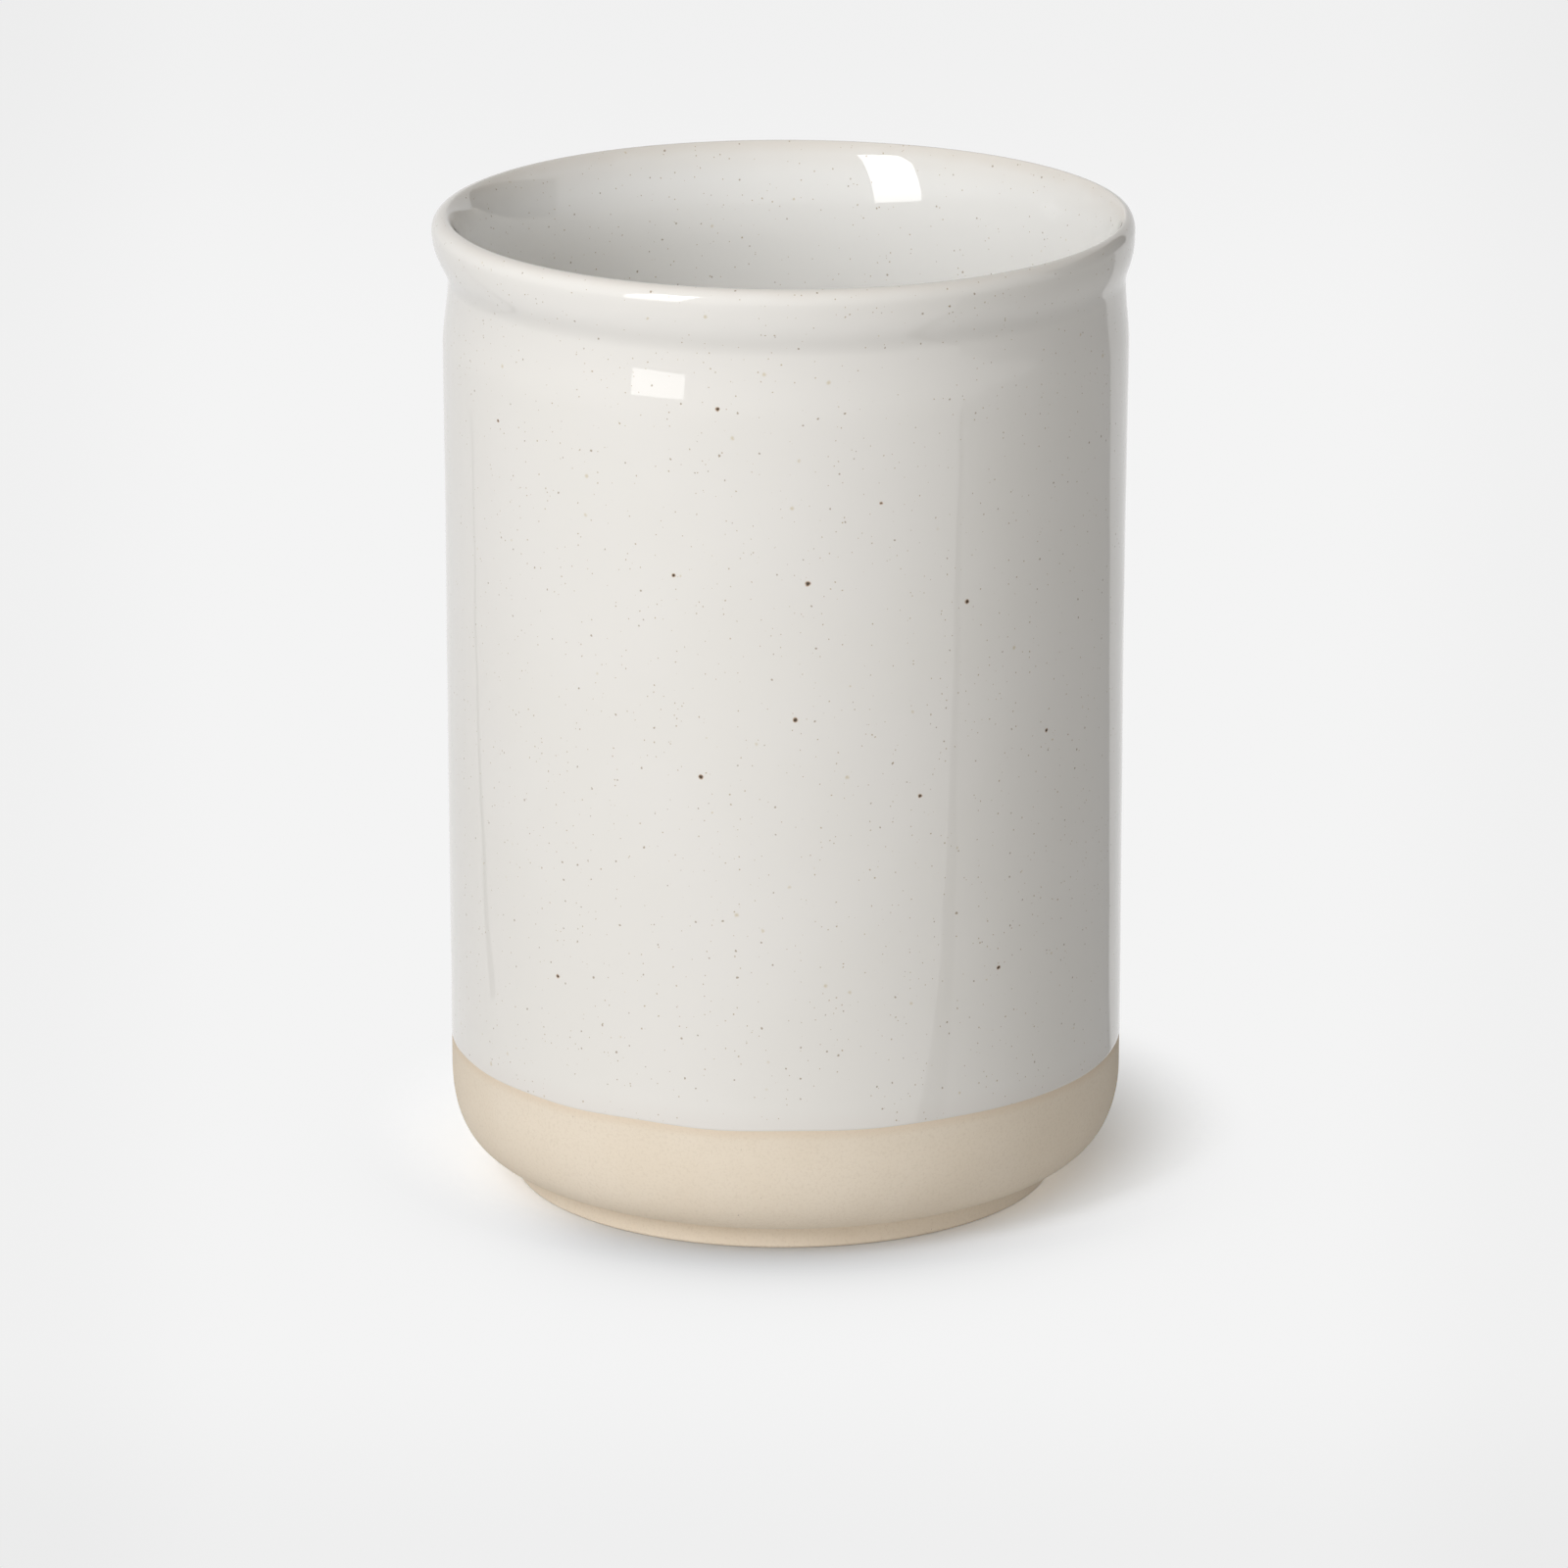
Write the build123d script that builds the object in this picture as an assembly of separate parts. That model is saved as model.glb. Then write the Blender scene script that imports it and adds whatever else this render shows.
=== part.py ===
from build123d import *
import os
from math import cos, radians, sin

# A round stoneware utensil holder, glazed white inside, over the lip and down most of the
# outside, with bare clay on the band, the rounded bottom corner and the trimmed foot ring.
# Millimetres. The holder stands on Z = 0 and its axis is the Z axis.

# Overall size
height = 184.7
wall_radius = 63.4

# Lip, measured from the wall and from the top
lip_overhang = 1.6
lip_drop = 2.85
lip_round_out = 2.2
lip_round_in = 1.92
inner_lip_drop = 3.2
inner_lip_lean = 20.0

# Neck under the lip and the faint swell of the shoulder below it
neck_depth = 0.67
neck_drop = 12.4
shoulder_swell = 0.24
shoulder_drop = 24.4
straight_wall_drop = 64.7

# Bottom corner and foot ring
foot_inset = 12.3
foot_height = 4.0
foot_flare = 0.75
foot_ring_width = 7.5
foot_edge_round = 0.6
foot_recess = 2.0
corner_height = 16.9
corner_start_slope = 11.5

# Well
wall_thickness = 5.2
throat_drop = 18.5
well_taper = 0.7
floor_thickness = 6.5
well_corner_radius = 12.0

# Glaze: how thick the coats are, and how the outer one ends above the bare band
glaze_thickness = 0.4
glaze_line = 27.0
glaze_step = 0.1
glaze_taper = 1.5

# Shapes of the curves: each pull is a share of the stretch that the curve spans
quarter_pull = 0.552
swell_pull = 0.333
neck_pull = 0.303
under_lip_pull = 0.525
corner_low_pull = 0.375
corner_high_pull = 0.87
throat_pull = 0.333

# Levels and radii that follow from the sizes above
lip_radius = wall_radius + lip_overhang
crest_radius = lip_radius - lip_round_out
inner_lip_radius = crest_radius - lip_round_in
neck_radius = wall_radius - neck_depth
shoulder_radius = wall_radius + shoulder_swell
bare_radius = wall_radius - glaze_step
foot_radius = wall_radius - foot_inset
crease_radius = foot_radius - foot_flare
ring_inner_radius = foot_radius - foot_ring_width
throat_radius = wall_radius - wall_thickness
well_floor_radius = throat_radius - well_taper
floor_level = foot_recess + floor_thickness
corner_top = foot_height + corner_height

upwards = Vector(0, 0, 1)


def at(radius, level):
    """A point of the half section: how far from the axis, and how high."""
    return Vector(radius, 0, level)


def upright_curve(start, end, start_pull, end_pull):
    """An S-shaped curve that runs straight up at both of its ends."""
    rise = upwards * (end.Z - start.Z)
    return Bezier(start, start + rise * start_pull, end - rise * end_pull, end)


def quarter_round(start, corner, end):
    """A quarter round from start to end, inside the corner that their tangents make."""
    start_handle = start + (corner - start) * quarter_pull
    end_handle = end + (corner - end) * quarter_pull
    return Bezier(start, start_handle, end_handle, end)


def crest(depth):
    """The highest point of the section, with the surface set back by depth."""
    return at(crest_radius, height - depth)


def outside(depth):
    """The outside from the straight wall up to the crest, set back by depth."""
    wall_top = at(wall_radius - depth, height - straight_wall_drop)
    shoulder = at(shoulder_radius - depth, height - shoulder_drop)
    neck = at(neck_radius - depth, height - neck_drop)
    lip = at(lip_radius - depth, height - lip_drop)
    lip_corner = at(lip_radius - depth, height - depth)
    return [
        upright_curve(wall_top, shoulder, swell_pull, swell_pull),
        upright_curve(shoulder, neck, swell_pull, swell_pull),
        upright_curve(neck, lip, neck_pull, under_lip_pull),
        quarter_round(lip, lip_corner, crest(depth)),
    ]


def inside(depth):
    """The well from the crest down to the middle of its floor, set back by depth."""
    lip_edge = at(inner_lip_radius + depth, height - inner_lip_drop)
    throat = at(throat_radius + depth, height - throat_drop)
    floor_corner = at(well_floor_radius + depth, floor_level - depth)
    down_wall = (floor_corner - throat).normalized()
    down_flare = Vector(-sin(radians(inner_lip_lean)), 0, -cos(radians(inner_lip_lean)))
    roll_rise = (crest(depth).Z - lip_edge.Z) / down_flare.Z
    flare_length = (lip_edge - throat).length
    round_size = well_corner_radius + depth
    wall_foot = floor_corner - down_wall * round_size
    floor_edge = floor_corner - Vector(round_size, 0, 0)
    flare = Bezier(
        lip_edge,
        lip_edge + down_flare * flare_length * throat_pull,
        throat - down_wall * flare_length * throat_pull,
        throat,
    )
    return [
        quarter_round(crest(depth), lip_edge + down_flare * roll_rise, lip_edge),
        flare,
        Line(throat, wall_foot),
        quarter_round(wall_foot, floor_corner, floor_edge),
        Line(floor_edge, at(0, floor_level - depth)),
    ]


def glaze_edge():
    """Where the outer coat thins out: the bare clay, then the wall under the full coat."""
    return [
        at(bare_radius, glaze_line),
        at(wall_radius - glaze_thickness, glaze_line + glaze_taper),
    ]


def spin(*edges):
    """The solid that a closed half section sweeps round the axis."""
    return revolve(make_face(Wire(edges)), Axis.Z)


def foot():
    """The underside: a shallow recess, the foot ring and the crease above it."""
    recess = at(ring_inner_radius, foot_recess)
    ring_inside = at(ring_inner_radius, 0)
    ring_outside = at(foot_radius - foot_edge_round, 0)
    foot_side = at(foot_radius, foot_edge_round)
    crease = at(crease_radius, foot_height)
    return [
        Line(at(0, foot_recess), recess),
        Line(recess, ring_inside),
        Line(ring_inside, ring_outside),
        quarter_round(ring_outside, at(foot_radius, 0), foot_side),
        Line(foot_side, crease),
    ]


def bottom_corner():
    """The bare clay from the crease round the bottom corner to the straight wall."""
    crease = at(crease_radius, foot_height)
    wall_start = at(bare_radius, corner_top)
    slope = radians(corner_start_slope)
    reach = (bare_radius - crease_radius) * corner_low_pull
    low_handle = crease + Vector(cos(slope), 0, sin(slope)) * reach
    high_handle = wall_start - upwards * corner_height * corner_high_pull
    return Bezier(crease, low_handle, high_handle, wall_start)


def stoneware_body():
    """The fired clay: a thick-walled pot with a foot ring, in one piece."""
    edge, under_coat = glaze_edge()
    wall_top = at(wall_radius - glaze_thickness, height - straight_wall_drop)
    return spin(
        *foot(),
        bottom_corner(),
        Line(at(bare_radius, corner_top), edge),
        Line(edge, under_coat),
        Line(under_coat, wall_top),
        *outside(glaze_thickness),
        *inside(glaze_thickness),
        Line(at(0, floor_level - glaze_thickness), at(0, foot_recess)),
    )


def outer_glaze():
    """The coat on the outside, from its edge above the bare band up to the crest."""
    edge, under_coat = glaze_edge()
    coat_foot = at(wall_radius, glaze_line)
    return spin(
        Line(edge, coat_foot),
        Line(coat_foot, at(wall_radius, height - straight_wall_drop)),
        *outside(0),
        Line(crest(0), crest(glaze_thickness)),
        *outside(glaze_thickness),
        Line(at(wall_radius - glaze_thickness, height - straight_wall_drop), under_coat),
        Line(under_coat, edge),
    )


def liner_glaze():
    """The coat in the well: down the wall from the crest and across the floor."""
    return spin(
        *inside(0),
        Line(at(0, floor_level), at(0, floor_level - glaze_thickness)),
        *inside(glaze_thickness),
        Line(crest(glaze_thickness), crest(0)),
    )


def main():
    """Writes one STEP file for each piece."""
    os.makedirs("parts", exist_ok=True)
    pieces = {
        "stoneware_body": stoneware_body(),
        "outer_glaze": outer_glaze(),
        "liner_glaze": liner_glaze(),
    }
    for name, piece in pieces.items():
        piece.label = name
        export_step(piece, f"parts/{name}.step")
        size = piece.bounding_box().size
        print(f"{name}: {piece.volume:.0f} mm3, {size.X:.1f} x {size.Y:.1f} x {size.Z:.1f} mm")


main()
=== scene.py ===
from math import cos, pi, radians, sin

import bpy
import numpy as np
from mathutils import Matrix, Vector


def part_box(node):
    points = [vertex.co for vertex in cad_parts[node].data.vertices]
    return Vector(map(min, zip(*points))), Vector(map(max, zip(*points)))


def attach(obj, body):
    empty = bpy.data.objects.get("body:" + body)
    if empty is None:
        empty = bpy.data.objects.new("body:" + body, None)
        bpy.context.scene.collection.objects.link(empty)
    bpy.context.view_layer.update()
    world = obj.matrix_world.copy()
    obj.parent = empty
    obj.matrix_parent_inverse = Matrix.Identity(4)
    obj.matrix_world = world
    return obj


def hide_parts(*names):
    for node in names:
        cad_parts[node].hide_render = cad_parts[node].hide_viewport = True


# A round stoneware utensil holder: white speckled glaze inside, over the lip and down most of
# the outside, bare clay on the band below it, on the bottom corner and on the foot ring.
# Sizes are millimetres unless a name says otherwise; meshes are made in metres.

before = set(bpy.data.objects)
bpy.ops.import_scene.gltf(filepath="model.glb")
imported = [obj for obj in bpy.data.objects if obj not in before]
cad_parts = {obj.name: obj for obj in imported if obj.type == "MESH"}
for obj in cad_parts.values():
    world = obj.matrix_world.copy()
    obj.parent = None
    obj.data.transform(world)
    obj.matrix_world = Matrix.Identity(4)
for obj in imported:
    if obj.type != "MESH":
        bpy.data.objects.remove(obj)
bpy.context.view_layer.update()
mm = 0.001

# Sizes taken from the frame
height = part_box("outer_glaze")[1].z / mm
lip_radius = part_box("outer_glaze")[1].x / mm
glaze_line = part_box("outer_glaze")[0].z / mm

# Lip, neck and shoulder of the outside
lip_overhang = 1.6
lip_drop = 2.85
lip_round_out = 2.2
lip_round_in = 1.92
neck_depth = 0.67
neck_drop = 12.4
shoulder_swell = 0.24
shoulder_drop = 24.4
straight_wall_drop = 64.7

# Well
inner_lip_drop = 3.2
inner_lip_lean = 20.0
wall_thickness = 5.2
throat_drop = 18.5
well_taper = 0.7
floor_level = 8.5
well_corner_radius = 12.0

# Bottom corner and foot ring
foot_inset = 12.3
foot_height = 4.0
foot_flare = 0.75
foot_ring_width = 7.5
foot_edge_round = 0.6
foot_recess = 2.0
corner_height = 16.9
corner_start_slope = 11.5
crease_softness = 0.9
ring_softness = 0.5

# Glaze coats
glaze_thickness = 0.4
glaze_step = 0.1
glaze_taper = 1.5
glaze_bead = 0.5

# Shapes of the curves: each pull is a share of the stretch that the curve spans
quarter_pull = 0.552
swell_pull = 0.333
neck_pull = 0.303
under_lip_pull = 0.525
throat_pull = 0.333
corner_low_pull = 0.375
corner_high_pull = 0.87

# Radii and levels that follow from the sizes above
wall_radius = lip_radius - lip_overhang
crest_radius = lip_radius - lip_round_out
inner_lip_radius = crest_radius - lip_round_in
neck_radius = wall_radius - neck_depth
shoulder_radius = wall_radius + shoulder_swell
bare_radius = wall_radius - glaze_step
foot_radius = wall_radius - foot_inset
crease_radius = foot_radius - foot_flare
ring_inner_radius = foot_radius - foot_ring_width
throat_radius = wall_radius - wall_thickness
well_floor_radius = throat_radius - well_taper
corner_top = foot_height + corner_height

# How closely the pieces are meshed
turns = 384
bead_step = 0.1
fine_step = 0.2
curve_step = 0.45
wall_step = 1.6
hidden_curve_step = fine_step * 4
hidden_step = 6.0
hidden_taper_step = 0.5
worn_edge_points = 7
tiny = 1e-6


# Half sections: a path is an array of points, each a radius and a level

def bezier(start, start_handle, end_handle, end, step):
    """Points of a cubic curve, without its first one."""
    corners = [np.array(p, float) for p in (start, start_handle, end_handle, end)]
    length = sum(np.linalg.norm(b - a) for a, b in zip(corners, corners[1:]))
    count = max(3, round(length / step))
    t = (np.arange(1, count + 1) / count)[:, None]
    weights = ((1 - t) ** 3, 3 * (1 - t) ** 2 * t, 3 * (1 - t) * t**2, t**3)
    return sum(w * p for w, p in zip(weights, corners))


def line(start, end, step):
    """Points of a straight run, without its first one."""
    start, end = np.array(start, float), np.array(end, float)
    count = max(2, round(np.linalg.norm(end - start) / step))
    return start + (end - start) * (np.arange(1, count + 1) / count)[:, None]


def upright_curve(start, end, start_pull, end_pull, step):
    """An S-shaped curve that runs straight up at both of its ends."""
    rise = end[1] - start[1]
    low = (start[0], start[1] + rise * start_pull)
    high = (end[0], end[1] - rise * end_pull)
    return bezier(start, low, high, end, step)


def quarter_round(start, corner, end, step):
    """A quarter round inside the corner that its tangents make."""
    start, corner, end = (np.array(p, float) for p in (start, corner, end))
    start_handle = start + (corner - start) * quarter_pull
    end_handle = end + (corner - end) * quarter_pull
    return bezier(start, start_handle, end_handle, end, step)


def outside(depth, steps):
    """The outside from the straight wall up to the crest, set back by depth."""
    wall, fine = steps
    wall_top = (wall_radius - depth, height - straight_wall_drop)
    shoulder = (shoulder_radius - depth, height - shoulder_drop)
    neck = (neck_radius - depth, height - neck_drop)
    lip = (lip_radius - depth, height - lip_drop)
    crest = (crest_radius, height - depth)
    return np.vstack([
        upright_curve(wall_top, shoulder, swell_pull, swell_pull, wall),
        upright_curve(shoulder, neck, swell_pull, swell_pull, max(fine, wall / 2)),
        upright_curve(neck, lip, neck_pull, under_lip_pull, max(fine, wall / 4)),
        quarter_round(lip, (lip_radius - depth, height - depth), crest, fine),
    ])


def inside(depth, steps):
    """The well from the crest down to the middle of its floor, set back by depth."""
    wall, fine = steps
    crest = np.array((crest_radius, height - depth))
    lip_edge = np.array((inner_lip_radius + depth, height - inner_lip_drop))
    throat = np.array((throat_radius + depth, height - throat_drop))
    floor_corner = np.array((well_floor_radius + depth, floor_level - depth))
    down_wall = (floor_corner - throat) / np.linalg.norm(floor_corner - throat)
    down_flare = np.array((-sin(radians(inner_lip_lean)), -cos(radians(inner_lip_lean))))
    lip_corner = lip_edge + down_flare * ((crest - lip_edge)[1] / down_flare[1])
    reach = np.linalg.norm(lip_edge - throat) * throat_pull
    wall_foot = floor_corner - down_wall * (well_corner_radius + depth)
    floor_edge = floor_corner - (well_corner_radius + depth, 0)
    return np.vstack([
        quarter_round(crest, lip_corner, lip_edge, fine),
        bezier(lip_edge, lip_edge + down_flare * reach, throat - down_wall * reach, throat,
               max(fine, wall / 3)),
        line(throat, wall_foot, wall),
        quarter_round(wall_foot, floor_corner, floor_edge, max(fine, wall / 2)),
        line(floor_edge, (0, floor_level - depth), wall),
    ])


def travelled(path):
    """How far along the path each of its points lies."""
    return np.r_[0, np.cumsum(np.linalg.norm(np.diff(path, axis=0), axis=1))]


def softened(path, corner, size):
    """The path with the corner nearest to the given point worn round."""
    k = int(np.argmin(np.linalg.norm(path - corner, axis=1)))
    travel = travelled(path)
    near = np.abs(travel - travel[k]) < size
    first, last = np.flatnonzero(near)[[0, -1]]
    first, last = max(first - 1, 0), min(last + 1, len(path) - 1)
    t = np.linspace(0, 1, worn_edge_points)[:, None]
    rounded = (1 - t) ** 2 * path[first] + 2 * (1 - t) * t * path[k] + t**2 * path[last]
    return np.vstack([path[:first], rounded, path[last + 1:]])


def glazed_path():
    """All the glazed surface: the coat's edge, the outside, the crest and the well."""
    edge = (bare_radius, glaze_line)
    bead_top = (wall_radius, glaze_line + glaze_bead)
    bead = quarter_round(edge, (wall_radius, glaze_line), bead_top, bead_step)
    wall_top = (wall_radius, height - straight_wall_drop)
    outer = np.vstack([[edge], bead, line(bead[-1], wall_top, wall_step),
                       outside(0, (wall_step, fine_step))])
    return np.vstack([outer, inside(0, (wall_step, fine_step))]), len(outer) - 1


def under_outer_coat():
    """The outer coat's back, from the crest down to its edge."""
    under = (wall_radius - glaze_thickness, glaze_line + glaze_taper)
    wall_top = (wall_radius - glaze_thickness, height - straight_wall_drop)
    up = np.vstack([[under], line(under, wall_top, hidden_step),
                    outside(glaze_thickness, (hidden_step, hidden_curve_step))])
    return up[::-1]


def under_liner():
    """The liner's back, from the middle of the floor up to the crest."""
    crest = [(crest_radius, height - glaze_thickness)]
    down = np.vstack([crest, inside(glaze_thickness, (hidden_step, hidden_curve_step))])
    return down[::-1]


def clay_path():
    """The clay from the middle of its underside, up the outside and down into the well."""
    recess = (ring_inner_radius, foot_recess)
    ring_inside = (ring_inner_radius, 0)
    ring_outside = (foot_radius - foot_edge_round, 0)
    foot_side = (foot_radius, foot_edge_round)
    crease = np.array((crease_radius, foot_height))
    wall_start = np.array((bare_radius, corner_top))
    edge = (bare_radius, glaze_line)
    under = (wall_radius - glaze_thickness, glaze_line + glaze_taper)
    wall_top = (wall_radius - glaze_thickness, height - straight_wall_drop)
    slope = radians(corner_start_slope)
    reach = (bare_radius - crease_radius) * corner_low_pull
    low_handle = crease + np.array((cos(slope), sin(slope))) * reach
    high_handle = wall_start - (0, corner_height * corner_high_pull)
    visible = np.vstack([
        [(0, foot_recess)],
        line((0, foot_recess), recess, wall_step * 2),
        line(recess, ring_inside, fine_step),
        line(ring_inside, ring_outside, fine_step * 2),
        quarter_round(ring_outside, (foot_radius, 0), foot_side, fine_step / 2),
        line(foot_side, crease, fine_step),
        bezier(crease, low_handle, high_handle, wall_start, curve_step),
        line(wall_start, edge, curve_step),
    ])
    visible = softened(visible, recess, ring_softness)
    visible = softened(visible, ring_inside, ring_softness)
    visible = softened(visible, crease, crease_softness)
    hidden = np.vstack([
        line(edge, under, hidden_taper_step),
        line(under, wall_top, hidden_step),
        outside(glaze_thickness, (hidden_step, hidden_curve_step)),
        inside(glaze_thickness, (hidden_step, hidden_curve_step)),
    ])
    return np.vstack([visible, hidden])


# What the hand leaves: a slight drift of the axis, a ripple in the wall, a wavy glaze line
drift_levels = (0, 20, 100, 160, 172, 182)
drifts = (-0.25, 0.15, 0.03, 0.15, 0.33, -0.3)
ripple_depth, ripple_count, ripple_lengths, ripple_seed = 0.01, 26, (14, 60), 5
line_wave_depth, line_wave_reach = 0.22, 8.0
line_wave_orders, line_wave_seed = range(2, 17), 11
lip_wave_depth = 0.05
lip_wave_orders, lip_wave_seed = (1, 2, 3, 5), 17

# The well's own drift, between which levels it grows, and the line that the well lies inward of
well_drift, well_drift_levels = 0.9, (110, 165)
well_side_levels, well_side_radii, well_side_span = (172.3, 181.85), (62.2, 65.0), 4.2


def eased(levels, values, level):
    """Values at their levels, with an even glide from one to the next."""
    k = np.clip(np.searchsorted(levels, level) - 1, 0, len(levels) - 2)
    levels, values = np.array(levels, float), np.array(values, float)
    t = np.clip((level - levels[k]) / (levels[k + 1] - levels[k]), 0, 1)
    return values[k] + (values[k + 1] - values[k]) * t * t * (3 - 2 * t)


def waves(angle, depth, orders, seed):
    """A closed wavy line round the axis: the same every time for one seed."""
    dice = np.random.RandomState(seed)
    phases = dice.uniform(0, 2 * pi, len(orders))
    shares = dice.uniform(0.5, 1, len(orders)) / np.sqrt(len(orders))
    return depth * sum(s * np.cos(n * angle + p) for n, s, p in zip(orders, shares, phases))


def ripple(angle, level):
    """Shallow unevenness of the wall, in millimetres."""
    dice = np.random.RandomState(ripple_seed)
    total = 0
    for _ in range(ripple_count):
        length = dice.uniform(*ripple_lengths)
        tall = dice.uniform(*ripple_lengths)
        order = max(1, round(2 * pi * wall_radius / length))
        round_phase, up_phase = dice.uniform(0, 2 * pi, 2)
        share = min(length, tall) / ripple_lengths[1]
        along = np.cos(order * angle + round_phase)
        total = total + share * along * np.cos(2 * pi * level / tall + up_phase)
    return ripple_depth * total


def hand_made(angle, radius, level):
    """Positions in metres of the section turned through the angles, as a hand would leave them."""
    near_line = np.exp(-(((level - glaze_line) / line_wave_reach) ** 2))
    near_lip = np.clip((level - height + neck_drop) / neck_drop, 0, 1)
    from_axis = np.clip(radius / wall_radius, 0, 1) ** 2
    standing = np.clip(level / foot_height, 0, 1)
    r = radius + ripple(angle, level) * from_axis * standing
    z = level + waves(angle, line_wave_depth, line_wave_orders, line_wave_seed) * near_line
    z = z + waves(angle, lip_wave_depth, lip_wave_orders, lip_wave_seed) * near_lip
    in_well = np.interp(level, well_side_levels, well_side_radii) - radius
    in_well = np.clip(in_well / well_side_span, 0, 1)
    in_well = in_well * np.clip((level - well_drift_levels[0]) / np.ptp(well_drift_levels), 0, 1)
    x = r * np.sin(angle) + eased(drift_levels, drifts, level) + well_drift * in_well
    y = -r * np.cos(angle)
    return np.stack([x, y, z], axis=-1) * mm


# Meshes

def swept(path):
    """The path turned round the axis, as a grid of points, and the normals of that grid."""
    angle = np.arange(turns) / turns * 2 * pi - pi / 2
    angles, radii = np.meshgrid(angle, path[:, 0])
    levels = np.meshgrid(angle, path[:, 1])[1]
    grid = hand_made(angles, radii, levels)
    along = np.gradient(grid, axis=0)
    round_axis = np.roll(grid, -1, axis=1) - np.roll(grid, 1, axis=1)
    normals = np.cross(round_axis, along)
    for row in np.flatnonzero(path[:, 0] == 0):
        normals[row] = (0, 0, -np.gradient(path[:, 0])[row])
    return grid, normals / np.linalg.norm(normals, axis=-1, keepdims=True)


def ring_faces(rows, closed):
    """Quads between neighbouring rows of a grid, in the order that faces them outwards."""
    i = np.arange(rows if closed else rows - 1)[:, None]
    j = np.arange(turns)[None, :]
    up, side = (i + 1) % rows, (j + 1) % turns
    corners = [i * turns + j, i * turns + side, up * turns + side, up * turns + j]
    return np.stack(np.broadcast_arrays(*corners), axis=-1).reshape(-1, 4)


def bake_places(rows, closed, travel, visible_rows):
    """Places on the square for the bake: the front half, the back half and a strip for the rest."""
    edge = 0.008
    front_low, back_low, seen_tall = 0.53, 0.06, 0.46
    front_rest, back_rest, rest_tall = 0.004, 0.03, 0.02
    half = turns // 2
    faces = rows if closed else rows - 1
    i = np.arange(faces)[:, None, None]
    j = np.arange(turns)[None, :, None]
    step_i = np.array([0, 0, 1, 1])
    step_j = np.array([0, 1, 1, 0])
    travel = np.r_[travel, travel[-1]]
    row = np.minimum(i + step_i, len(travel) - 1)
    u = edge + (1 - 2 * edge) * ((j % half) + step_j) / half
    seen = i < visible_rows - 1
    low, high = travel[0], travel[visible_rows - 1]
    share = (travel[row] - low) / (high - low)
    v_seen = np.where(j < half, front_low, back_low) + share * (seen_tall - edge)
    rest = (travel[row] - high) / max(travel[-1] - high, tiny)
    v_rest = np.where(j < half, front_rest, back_rest) + np.clip(rest, 0, 1) * rest_tall
    u, v = np.broadcast_arrays(u, np.where(seen, v_seen, v_rest))
    return np.stack([u, v], axis=-1).reshape(-1, 2)


def make_piece(name, path, visible_rows, grid, normals, closed, facts):
    """A mesh object from a grid, with its normals, its place for the bake and its painted facts."""
    rows = len(path)
    # Each row on the axis is a single point, so the quads that touch it become triangles
    index = np.arange(rows * turns).reshape(rows, turns)
    index[path[:, 0] == 0] = index[path[:, 0] == 0][:, :1]
    used, index = np.unique(index, return_inverse=True)
    corners = index.reshape(-1)[ring_faces(rows, closed)]
    kept = corners != np.roll(corners, 1, axis=1)
    kept &= kept.sum(axis=1, keepdims=True) > 2
    sizes = kept.sum(axis=1)
    sizes = sizes[sizes > 0]
    mesh = bpy.data.meshes.new(name)
    mesh.vertices.add(len(used))
    mesh.vertices.foreach_set("co", grid.reshape(-1, 3)[used].ravel())
    mesh.loops.add(int(sizes.sum()))
    mesh.loops.foreach_set("vertex_index", corners[kept].astype(np.int32))
    mesh.polygons.add(len(sizes))
    mesh.polygons.foreach_set("loop_start", np.r_[0, np.cumsum(sizes)[:-1]].astype(np.int32))
    mesh.update(calc_edges=True)
    uv = bake_places(rows, closed, travelled(path), visible_rows).reshape(-1, 4, 2)[kept]
    layer = mesh.uv_layers.new(name="OFBake")
    layer.data.foreach_set("uv", uv.ravel())
    for fact, values in facts.items():
        painted = mesh.attributes.new(fact, "FLOAT", "POINT")
        painted.data.foreach_set("value", values.reshape(-1)[used].astype(np.float32))
    mesh.shade_smooth()
    mesh.normals_split_custom_set_from_vertices(normals.reshape(-1, 3)[used])
    made = bpy.data.objects.new(name, mesh)
    bpy.context.scene.collection.objects.link(made)
    return made


def facts_of(path, crest_row=None):
    """What the materials need to know: millimetres from the crest and above the glaze line."""
    travel = travelled(path)
    zero = travel[crest_row] if crest_row is not None else travel[-1]
    from_crest = np.repeat((travel - zero)[:, None], turns, axis=1)
    above_line = np.repeat((path[:, 1] - glaze_line)[:, None], turns, axis=1)
    return {"from_crest": from_crest, "above_line": above_line}


def glaze_pieces():
    """The outer coat and the liner, cut at the crest from one grid so that no seam shows."""
    path, crest = glazed_path()
    grid, normals = swept(path)
    facts = facts_of(path, crest)
    made = []
    for name, rows, back in (
        ("outer_coat", slice(0, crest + 1), under_outer_coat()),
        ("liner_coat", slice(crest, None), under_liner()),
    ):
        back_grid, back_normals = swept(back)
        back_facts = {fact: np.zeros((len(back), turns)) for fact in facts}
        seen = path[rows]
        made.append(make_piece(
            name, np.vstack([seen, back]), len(seen),
            np.vstack([grid[rows], back_grid]), np.vstack([normals[rows], back_normals]),
            True, {fact: np.vstack([facts[fact][rows], back_facts[fact]]) for fact in facts},
        ))
    return made


def clay_piece():
    """The clay, whole, as it is under the glaze too."""
    path = clay_path()
    grid, normals = swept(path)
    at_coat = (path[:, 1] >= glaze_line - tiny) & (path[:, 0] > throat_radius)
    visible = int(np.flatnonzero(at_coat)[0]) + 1
    return make_piece("clay_body", path, visible, grid, normals, False, facts_of(path))


# Node helpers

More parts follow.
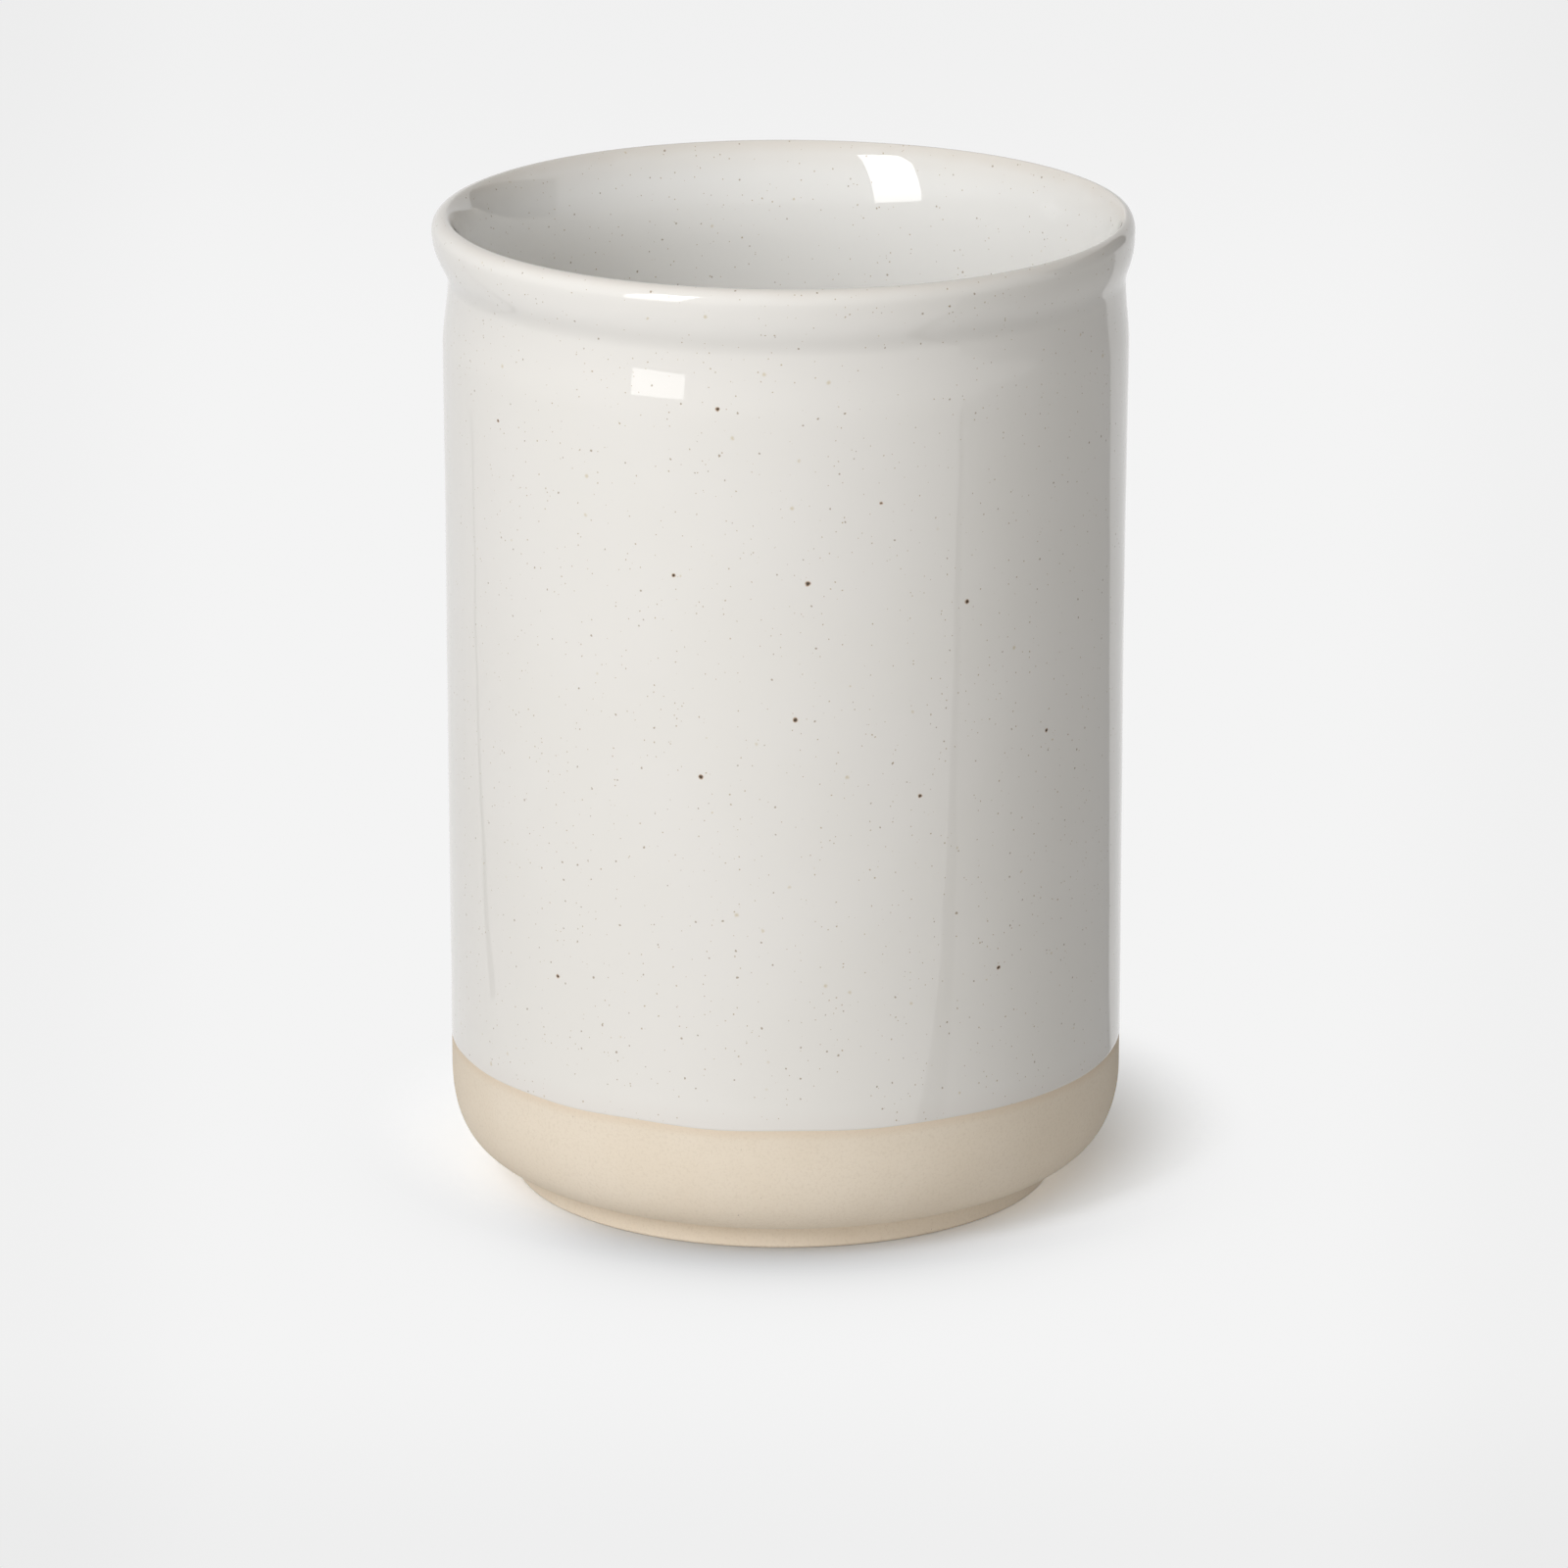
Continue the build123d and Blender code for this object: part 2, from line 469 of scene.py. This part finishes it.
def add(tree, kind, inputs=(), output=0, **settings):
    """Adds a shader node, sets or links its inputs by name or by number, and gives an output."""
    made = tree.nodes.new("ShaderNode" + kind)
    for name, value in settings.items():
        setattr(made, name, value)
    for key, value in (inputs.items() if isinstance(inputs, dict) else enumerate(inputs)):
        if isinstance(value, bpy.types.NodeSocket):
            tree.links.new(value, made.inputs[key])
        elif value is not None:
            made.inputs[key].default_value = value
    return made.outputs[output] if made.outputs else None


def calc(tree, operation, *values):
    """One step of arithmetic."""
    return add(tree, "Math", values, operation=operation)


def ramp(tree, value, low, high, start=0.0, end=1.0):
    """Start below low, end above high, and an even glide between them."""
    return add(tree, "MapRange", (value, low, high, start, end), interpolation_type="SMOOTHSTEP")


def blend(tree, factor, below, above):
    """One colour laid over another."""
    return add(tree, "Mix", {0: factor, 6: below, 7: above}, 2, data_type="RGBA")


def noise(tree, place, size, detail=2.0, rough=0.5):
    """Cloudy values about 0.5 whose features are about size millimetres wide."""
    inputs = {"Vector": place, "Scale": 1 / size, "Detail": detail, "Roughness": rough}
    return add(tree, "TexNoise", inputs)


def grey(value):
    """A colour without a tint."""
    return (value, value, value, 1)


def places(tree):
    """The place on the object in millimetres, and the same a little disturbed."""
    at = add(tree, "TexCoord", output="Object")
    at = add(tree, "VectorMath", {0: at, "Scale": 1 / mm}, operation="SCALE")
    stir = add(tree, "TexNoise", {"Vector": at, "Scale": stir_scale, "Detail": 1.0}, 1)
    stir = add(tree, "VectorMath", (stir, (0.5, 0.5, 0.5)), operation="SUBTRACT")
    stir = add(tree, "VectorMath", {0: stir, "Scale": speck_raggedness}, operation="SCALE")
    return at, add(tree, "VectorMath", (at, stir), operation="ADD")


def specks(tree, place, spacing, share, smallest, largest, softness=0.6):
    """A mask of round specks: their mean spacing, share shown, diameters and soft edge."""
    cell = tree.nodes.new("ShaderNodeTexVoronoi")
    tree.links.new(place, cell.inputs["Vector"])
    cell.inputs["Scale"].default_value = 1 / spacing
    luck = add(tree, "SeparateColor", (cell.outputs["Color"],))
    size = luck.node.outputs[1]
    low, high = smallest / 2 / spacing, largest / 2 / spacing
    reach = add(tree, "MapRange", (size, 0.0, 1.0, low, high))
    core = calc(tree, "MULTIPLY", reach, 1 - softness)
    mask = add(tree, "MapRange", (cell.outputs["Distance"], core, reach, 1.0, 0.0),
               interpolation_type="SMOOTHSTEP")
    shown = calc(tree, "LESS_THAN", luck, share)
    return calc(tree, "MULTIPLY", mask, shown)


def new_material(name):
    """A material with an empty node tree."""
    made = bpy.data.materials.new(name)
    made.use_nodes = True
    tree = made.node_tree
    tree.nodes.clear()
    return made, tree


def finish_surface(tree, colour, roughness, bump_height, bump_depth, ior):
    """Ends a material in its surface shader."""
    normal = add(tree, "Bump", {"Height": bump_height, "Distance": bump_depth * mm, "Strength": 1.0})
    surface = add(tree, "BsdfPrincipled", {
        "Base Color": colour, "Roughness": roughness, "Normal": normal, "IOR": ior,
    })
    add(tree, "OutputMaterial", (surface,))


# Glaze: linear colours
glaze_white = (0.879, 0.844, 0.787, 1)
glaze_deep = (0.872, 0.837, 0.776, 1)
breaking_beige = (0.74, 0.655, 0.555, 1)
thin_glaze = (0.84, 0.79, 0.73, 1)
# Whiter glaze pooled in the neck, also painted light that lifts the shade under the lip
pooled_white_and_painted_light = (0.95, 0.915, 0.855, 1)
# Painted shade: the shoulder below the neck is darkened where it faces up toward the light
shoulder_painted_shade = (0.848, 0.814, 0.758, 1)
# The liner's white, made brighter than the outside as painted light in the shaded well
liner_white_and_painted_light = (0.935, 0.917, 0.875, 1)
pinprick_brown = (0.42, 0.3, 0.13, 1)
speck_brown = (0.25, 0.145, 0.035, 1)
smudge_ochre = (0.57, 0.44, 0.19, 1)
halo_orange = (0.42, 0.21, 0.07, 1)
iron_dark = (0.05, 0.035, 0.018, 1)

# Where the glaze's tones lie: millimetres along the section from the crest, less than 0 outside
# Pooled glaze and painted light on the neck: where it is whitest and how far it spreads
pool_and_light_middle, pool_and_light_reach = -8.8, 4.3
# Painted shade on the shoulder: where it is darkest and how far it spreads
shoulder_shade_middle, shoulder_shade_reach = -17.5, 9.5
liner_from, liner_to = 1.0, 8.0
breaking_from, breaking_to, breaking_share = 0.4, 3.2, 0.33
breaking_wander, breaking_wander_size = 1.2, 9.0

# Thin glaze above its lower edge, the slow clouds in the white, the gloss and the skin
thin_reach, thin_share = 5.0, 0.6
cloud_size, cloud_detail, cloud_low, cloud_high = 28.0, 3.0, 0.35, 0.65
satin_size, satin_change, satin_least = 12.0, 0.02, 0.015
skin_size, skin_depth = 5.0, 0.001
glaze_ior = 1.5

# Specks in the glaze: spacing, share shown, smallest and largest, softness, then strength, colour
glaze_specks = (
    ((5.2, 0.5, 0.5, 1.2, 0.9), 0.5, smudge_ochre),
    ((1.25, 0.7, 0.2, 0.42, 0.6), 0.7, pinprick_brown),
    ((2.4, 0.5, 0.3, 0.62, 0.5), 0.62, speck_brown),
)
speck_raggedness, stir_scale = 0.35, 1.6

# Halo and dark of an iron spot: the depths in it where they start and are full, and their shares
halo_from, halo_full, halo_share = -0.3, 0.3, 0.75
dark_from, dark_full, dark_share = 0.15, 0.5, 0.95

# The largest iron spots: degrees round from the front, level and diameter
iron_spots = (
    (1.7, 105.3, 0.95), (3.7, 130.7, 0.95), (-13.9, 94.1, 0.9), (31.2, 124.9, 0.9),
    (22.7, 89.6, 0.85), (-10.9, 162.7, 0.85), (-41.2, 51.8, 0.85), (-18.4, 131.4, 0.75),
    (48.9, 97.1, 0.8), (15.7, 145.1, 0.75), (38.1, 54.2, 0.8), (-55.1, 154.0, 0.7),
)


def spot_centre(angle, level):
    """A place on the wall, from the front."""
    a = radians(angle)
    return (wall_radius * sin(a), -wall_radius * cos(a), level)


def iron_depth(tree, place):
    """How deep a place lies in the nearest iron spot: 1 at its middle, 0 or less outside."""
    deepest = None
    for angle, level, diameter in iron_spots:
        ends = place, spot_centre(angle, level)
        off = add(tree, "VectorMath", ends, "Value", operation="DISTANCE")
        depth = calc(tree, "MULTIPLY_ADD", off, -2 / diameter, 1.0)
        deepest = depth if deepest is None else calc(tree, "MAXIMUM", deepest, depth)
    return deepest


def glaze_material():
    """Glossy white with its tones, specks and iron spots, with painted shade on the shoulder and
    painted light on the neck and in the well.
    """
    made, tree = new_material("speckled_glaze")
    at, stirred = places(tree)
    from_crest = add(tree, "Attribute", output="Fac", attribute_name="from_crest")
    above_line = add(tree, "Attribute", output="Fac", attribute_name="above_line")
    cloud = noise(tree, at, cloud_size, cloud_detail)
    colour = blend(tree, ramp(tree, cloud, cloud_low, cloud_high), glaze_white, glaze_deep)
    # Painted shade darkens the shoulder, and a whiter pooled glaze, partly painted light, lifts the
    # shade under the lip
    for middle, reach, painted_tone in (
        (shoulder_shade_middle, shoulder_shade_reach, shoulder_painted_shade),
        (pool_and_light_middle, pool_and_light_reach, pooled_white_and_painted_light),
    ):
        off_middle = calc(tree, "ABSOLUTE", calc(tree, "SUBTRACT", from_crest, middle))
        colour = blend(tree, ramp(tree, off_middle, 0.0, reach, 1.0, 0.0), colour, painted_tone)
    # The liner's whiter tone, partly painted light that brightens the well
    colour = blend(tree, ramp(tree, from_crest, liner_from, liner_to), colour, liner_white_and_painted_light)
    wander = noise(tree, at, breaking_wander_size)
    wander = calc(tree, "MULTIPLY_ADD", wander, breaking_wander * 2, -breaking_wander)
    off_crest = calc(tree, "ABSOLUTE", calc(tree, "ADD", from_crest, wander))
    breaking = ramp(tree, off_crest, breaking_from, breaking_to, breaking_share, 0.0)
    colour = blend(tree, breaking, colour, breaking_beige)
    thin = ramp(tree, above_line, 0.0, thin_reach, thin_share, 0.0)
    colour = blend(tree, thin, colour, thin_glaze)
    for kind, strength, tint in glaze_specks:
        mask = specks(tree, stirred, *kind)
        colour = blend(tree, calc(tree, "MULTIPLY", mask, strength), colour, tint)
    iron = iron_depth(tree, stirred)
    colour = blend(tree, ramp(tree, iron, halo_from, halo_full, 0.0, halo_share), colour, halo_orange)
    colour = blend(tree, ramp(tree, iron, dark_from, dark_full, 0.0, dark_share), colour, iron_dark)
    satin = calc(tree, "MULTIPLY_ADD", noise(tree, at, satin_size), satin_change, satin_least)
    skin = noise(tree, at, skin_size, 1.0)
    finish_surface(tree, colour, satin, skin, skin_depth, glaze_ior)
    return made


# Bare clay: linear colours
clay_buff = (0.87, 0.754, 0.602, 1)
clay_pale = (0.89, 0.779, 0.632, 1)
clay_tan = (0.78, 0.62, 0.45, 1)
clay_grain_dark = (0.72, 0.6, 0.46, 1)
clay_speck = (0.34, 0.25, 0.16, 1)

# Clouds, grain, the flash under the glaze line, specks and finish of the clay
clay_cloud_size, clay_cloud_detail, clay_cloud_low, clay_cloud_high = 16.0, 4.0, 0.3, 0.7
grain_size, grain_detail, grain_rough = 0.55, 3.0, 0.65
grain_from, grain_full, grain_share = 0.45, 0.75, 0.35
flash_from, flash_full, flash_share = -2.2, -0.2, 0.45
clay_speck_kind, clay_speck_strength = (4.5, 0.35, 0.25, 0.5), 0.55
clay_rough_change, clay_rough_least = 0.1, 0.82
clay_grain_depth, clay_ior = 0.035, 1.45


def clay_material():
    """Matt buff clay with its grain, flash and specks."""
    made, tree = new_material("bare_stoneware")
    at, stirred = places(tree)
    above_line = add(tree, "Attribute", output="Fac", attribute_name="above_line")
    cloud = noise(tree, at, clay_cloud_size, clay_cloud_detail)
    colour = blend(tree, ramp(tree, cloud, clay_cloud_low, clay_cloud_high), clay_buff, clay_pale)
    grain = noise(tree, at, grain_size, grain_detail, grain_rough)
    grains = ramp(tree, grain, grain_from, grain_full, 0.0, grain_share)
    colour = blend(tree, grains, colour, clay_grain_dark)
    flash = calc(tree, "MULTIPLY", ramp(tree, above_line, flash_from, flash_full), flash_share)
    colour = blend(tree, flash, colour, clay_tan)
    dots = specks(tree, stirred, *clay_speck_kind)
    colour = blend(tree, calc(tree, "MULTIPLY", dots, clay_speck_strength), colour, clay_speck)
    rough = calc(tree, "MULTIPLY_ADD", grain, clay_rough_change, clay_rough_least)
    finish_surface(tree, colour, rough, grain, clay_grain_depth, clay_ior)
    return made


# Stage: floor, sheets and lights, in metres
floor_size = 6.0

# The background's white, and how it dims: from where to where, and the share left at each. The
# sides dim by how far aside a place lies for each metre ahead of the fade's centre
background = 0.904
side_fade, fade_centre = (0.068, 0.096, 1.0, 0.968), 1.52
front_fade, back_fade = (-0.205, -0.1, 0.955, 1.0), (0.6, 1.12, 1.0, 0.97)

# What the floor throws back at the object: far from its foot, near it, and how far near reaches
floor_bounce, near_bounce, bounce_reach = 0.55, 0.75, 0.06

# The shadow on the floor: its brightness and tint, and where it gives way to the even white
floor_gain, gain_slope = 1.838, (4.11, 4.6, 0.0)
shadow_tint = (0.99, 1.0, 1.005)
shadow_middle = (0.003, 0.0235, 0.0)
shadow_from, shadow_to = 0.0555, 0.0875
shadow_stretch = -0.018

# Painted contact shadow under the foot, which fades outwards: place across and depth, left and right
painted_contact_shadow_start, painted_contact_shadow_reach = 0.056, 0.0084
painted_contact_shadow_left, painted_contact_shadow_right = (-0.062, 0.22), (-0.03, 0.5)

# Camera: metres, degrees below level, millimetres of lens and sensor
camera_place = (-0.00018, -1.52048, 0.52565)
camera_down = 16.527
camera_lens, camera_sensor = 193.35, 36.0

# Lamp on the left and in front: its middle and size, and how bright it makes what faces it
lamp_place = Vector((-0.502, -0.614, 0.55))
lamp_width, lamp_tall = 0.262, 0.517
lamp_share = 0.392
lamp_tint = (0.98, 1.0, 1.035)
lamp_aim = Vector((0, 0, 0.09))

# Light of the room: from the front, low from the right and the back, high from the left
room_front, room_right_low, room_back_low, room_left_high = 0.985, 0.74, 0.8, 1.14
low_light_power = 5.0

# Bright panel that the gloss shows: its middle, turn and outline, then its glow at the lower
# edge and above, and how far up it is even
panel_place = Vector((-0.502, -0.614, 0.373))
panel_turn, panel_tip = -56.7, 16.8
panel_outline = (
    (-0.14, -0.26), (0.134, -0.26), (0.131, 0.336),
    (-0.083, 0.284), (-0.137, 0.155), (-0.152, -0.078),
)
panel_low, panel_glow = 4.4, 9.0
panel_even_from = 0.55

# Where the darker part of the room ends on the floor, in front and behind, from the object out
near_run = ((0.061, -0.094), (0.168, -0.149), (1.03, -0.595))
far_run = (
    (0.072, 0.011), (0.108, 0.06), (0.216, 0.209),
    (0.322, 0.334), (0.466, 0.464), (1.024, 0.966),
)

# That part, which the right side's gloss shows: its corners and the share of light let through
dim_part = (near_run[0], near_run[-1], (1.6, -0.6), (1.6, 1.45)) + far_run[::-1]
dim_share = 0.51

# Dark upright sheet behind on the right, which the gloss of the well's left side shows
dim_back = ((1.48, 0.22, 0.05), (1.5, 0.09, 0.75), (0.8, 1.27, 0.75), (0.86, 1.23, 0.05))
dim_back_share = 0.25

# Thin dark edges in the room that the gloss shows as lines: their run on the floor, width and
# the share of light let through. The sheet lies a millimetre above the floor, the edges two
sheet_level, edge_level = mm, 2 * mm
dark_edges = (
    (far_run, 0.006, 0.75),
    (((-0.165, 0.03), (-0.51, 0.37)), 0.01, 0.45),
    (near_run, 0.018, 0.05),
)


def towards(turn, rise):
    """The direction that lies turn degrees round from the front and rise degrees up."""
    turn, rise = radians(turn), radians(rise)
    return Vector((sin(turn) * cos(rise), -cos(turn) * cos(rise), sin(rise)))


def card(name, corners, material):
    """A flat stage piece from its corners."""
    mesh = bpy.data.meshes.new(name)
    mesh.from_pydata([tuple(c) for c in corners], [], [tuple(range(len(corners)))])
    made = bpy.data.objects.new(name, mesh)
    bpy.context.scene.collection.objects.link(made)
    made.data.materials.append(material)
    return made


def only_in_gloss(piece):
    """A stage piece that shows in the glaze's reflections and does nothing else."""
    piece.visible_camera = False
    piece.visible_diffuse = False
    piece.visible_shadow = False
    piece.visible_transmission = False
    piece.visible_volume_scatter = False


def looked_at(tree):
    """1 where the camera looks, straight, by a reflection or through something, and 0 for light."""
    path = tree.nodes.new("ShaderNodeLightPath").outputs
    seen = calc(tree, "MAXIMUM", path["Is Camera Ray"], path["Is Glossy Ray"])
    return calc(tree, "MAXIMUM", seen, path["Is Transmission Ray"])


def far_fade(tree, at):
    """The floor's even white dims a little toward the sides, the front and the back."""
    across, ahead = add(tree, "SeparateXYZ", (at,)).node.outputs[:2]
    from_centre = calc(tree, "ADD", ahead, fade_centre)
    aside = calc(tree, "DIVIDE", calc(tree, "ABSOLUTE", across), from_centre)
    sides = ramp(tree, aside, *side_fade)
    ends = calc(tree, "MULTIPLY", ramp(tree, ahead, *front_fade), ramp(tree, ahead, *back_fade))
    return calc(tree, "MULTIPLY", sides, ends)


def floor_material():
    """A white floor: it keeps the shadow near the object, adds a painted contact shadow round the
    foot and evens out to the background.
    """
    made, tree = new_material("floor")
    at = add(tree, "TexCoord", output="Object")
    behind = calc(tree, "MAXIMUM", add(tree, "SeparateXYZ", (at,), 1), 0.0)
    away = add(tree, "VectorMath", (at, shadow_middle), "Value", operation="DISTANCE")
    away = calc(tree, "MULTIPLY_ADD", behind, shadow_stretch, away)
    slope = add(tree, "VectorMath", (at, gain_slope), "Value", operation="DOT_PRODUCT")
    gain = calc(tree, "ADD", slope, floor_gain)
    tinted = [calc(tree, "MULTIPLY", gain, share) for share in shadow_tint]
    lit = add(tree, "BsdfDiffuse", (add(tree, "CombineColor", tinted),))
    # Painted contact shadow round the foot, darkest next to it and fading outwards
    out = add(tree, "VectorMath", (at,), "Value", operation="LENGTH")
    out = calc(tree, "SUBTRACT", out, painted_contact_shadow_start)
    fade = calc(tree, "EXPONENT", calc(tree, "DIVIDE", out, -painted_contact_shadow_reach))
    across = add(tree, "SeparateXYZ", (at,), 0)
    (left, left_depth), (right, right_depth) = painted_contact_shadow_left, painted_contact_shadow_right
    depth = ramp(tree, across, left, right, left_depth, right_depth)
    kept = calc(tree, "SUBTRACT", 1.0, calc(tree, "MULTIPLY", depth, fade))
    even = calc(tree, "MULTIPLY", far_fade(tree, at), kept)
    even = add(tree, "Emission", (grey(background), even))
    shown = add(tree, "MixShader", (ramp(tree, away, shadow_from, shadow_to), lit, even))
    near = ramp(tree, out, 0.0, bounce_reach, near_bounce, floor_bounce)
    bounce = add(tree, "BsdfDiffuse", (add(tree, "CombineColor", (near, near, near)),))
    add(tree, "OutputMaterial", (add(tree, "MixShader", (looked_at(tree), bounce, shown)),))
    return made


def make_floor():
    """The floor under and round the object."""
    h = floor_size / 2
    card("floor", [(-h, -h, 0), (h, -h, 0), (h, h, 0), (-h, h, 0)], floor_material())


def make_lamp():
    """The lamp that lights the object: its gloss shows the panel instead."""
    lamp = bpy.data.lights.new("key", "AREA")
    lamp.shape = "RECTANGLE"
    lamp.size, lamp.size_y = lamp_width, lamp_tall
    back = lamp_place - lamp_aim
    lamp.energy = lamp_share * pi**2 * back.length_squared
    lamp.color = lamp_tint
    made = bpy.data.objects.new("key", lamp)
    made.location = lamp_place
    made.rotation_euler = back.to_track_quat("Z", "Y").to_euler()
    made.visible_glossy = False
    made.visible_camera = False
    bpy.context.scene.collection.objects.link(made)


def make_panel():
    """The bright panel, dimmer along its lower edge."""
    material, tree = new_material("bright_panel")
    rise = add(tree, "SeparateXYZ", (add(tree, "TexCoord", output="Generated"),), 2)
    glow = ramp(tree, rise, 0.0, panel_even_from, panel_low, panel_glow)
    add(tree, "OutputMaterial", (add(tree, "Emission", (grey(1.0), glow)),))
    back = towards(panel_turn, panel_tip)
    side = towards(panel_turn + 90, 0)
    up = back.cross(side)
    corners = [panel_place + side * across + up * above for across, above in panel_outline]
    only_in_gloss(card("bright_panel", corners, material))


def smoked(name, share):
    """A see-through material that lets a share of the light through."""
    material, tree = new_material(name)
    add(tree, "OutputMaterial", (add(tree, "BsdfTransparent", (grey(share),)),))
    return material


def make_dim_part():
    """Smoked sheets on the floor and behind that darken what the gloss sees through them."""
    sheet = [(x, y, sheet_level) for x, y in dim_part]
    only_in_gloss(card("smoked_sheet", sheet, smoked("smoke", dim_share)))
    only_in_gloss(card("smoked_back", dim_back, smoked("smoke_behind", dim_back_share)))


def make_dark_edges():
    """Narrow smoked strips on the floor, just above the sheet."""
    for k, (run, width, share) in enumerate(dark_edges):
        points = [Vector((x, y, edge_level)) for x, y in run]
        along = [(b - a).normalized() for a, b in zip(points, points[1:])]
        along = [along[0]] + [(a + b).normalized() for a, b in zip(along, along[1:])] + [along[-1]]
        side = [a.cross(Vector((0, 0, width / 2))) for a in along]
        left = [p + s for p, s in zip(points, side)]
        right = [p - s for p, s in zip(points, side)]
        only_in_gloss(card(f"dark_edge_{k}", left + right[::-1], smoked(f"dark_edge_{k}", share)))


def make_world():
    """The light of the room, with the plain background where the camera or gloss sees it."""
    world = bpy.data.worlds.new("room")
    bpy.context.scene.world = world
    world.use_nodes = True
    tree = world.node_tree
    tree.nodes.clear()
    way = add(tree, "TexCoord", output="Generated")
    across, ahead, rise = add(tree, "SeparateXYZ", (way,)).node.outputs
    from_front = calc(tree, "MAXIMUM", calc(tree, "MULTIPLY", ahead, -room_front), 0.0)
    from_right = calc(tree, "MAXIMUM", calc(tree, "MULTIPLY", across, room_right_low), 0.0)
    from_back = calc(tree, "MAXIMUM", calc(tree, "MULTIPLY", ahead, room_back_low), 0.0)
    flatness = calc(tree, "SUBTRACT", 1.0, calc(tree, "ABSOLUTE", rise))
    flatness = calc(tree, "POWER", flatness, low_light_power)
    low = calc(tree, "MULTIPLY", calc(tree, "ADD", from_right, from_back), flatness)
    from_left = calc(tree, "MAXIMUM", calc(tree, "MULTIPLY", across, -room_left_high), 0.0)
    high_left = calc(tree, "MULTIPLY", from_left, calc(tree, "MAXIMUM", rise, 0.0))
    glow = calc(tree, "ADD", calc(tree, "ADD", from_front, low), high_left)
    room = add(tree, "Background", (grey(1.0), glow))
    plain = add(tree, "Background", (grey(background), 1.0))
    add(tree, "OutputWorld", (add(tree, "MixShader", (looked_at(tree), room, plain)),))


def make_camera():
    """The camera as fitted to the photograph's outline."""
    data = bpy.data.cameras.new("camera")
    data.lens, data.sensor_width = camera_lens, camera_sensor
    made = bpy.data.objects.new("camera", data)
    made.location = camera_place
    made.rotation_euler = (radians(90 - camera_down), 0, 0)
    bpy.context.scene.collection.objects.link(made)
    bpy.context.scene.camera = made


def dress(piece, node, material):
    """Puts a piece in a node's place, on its body, with its finish."""
    piece.data.materials.append(material)
    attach(piece, "root")
    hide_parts(node)


def main():
    """The stage, the lights and the dressed pieces."""
    make_camera()
    make_world()
    make_floor()
    make_lamp()
    make_panel()
    make_dim_part()
    make_dark_edges()
    glaze, clay = glaze_material(), clay_material()
    outer, liner = glaze_pieces()
    dress(outer, "outer_glaze", glaze)
    dress(liner, "liner_glaze", glaze)
    dress(clay_piece(), "stoneware_body", clay)
    bpy.context.scene.view_settings.view_transform = "Standard"


main()
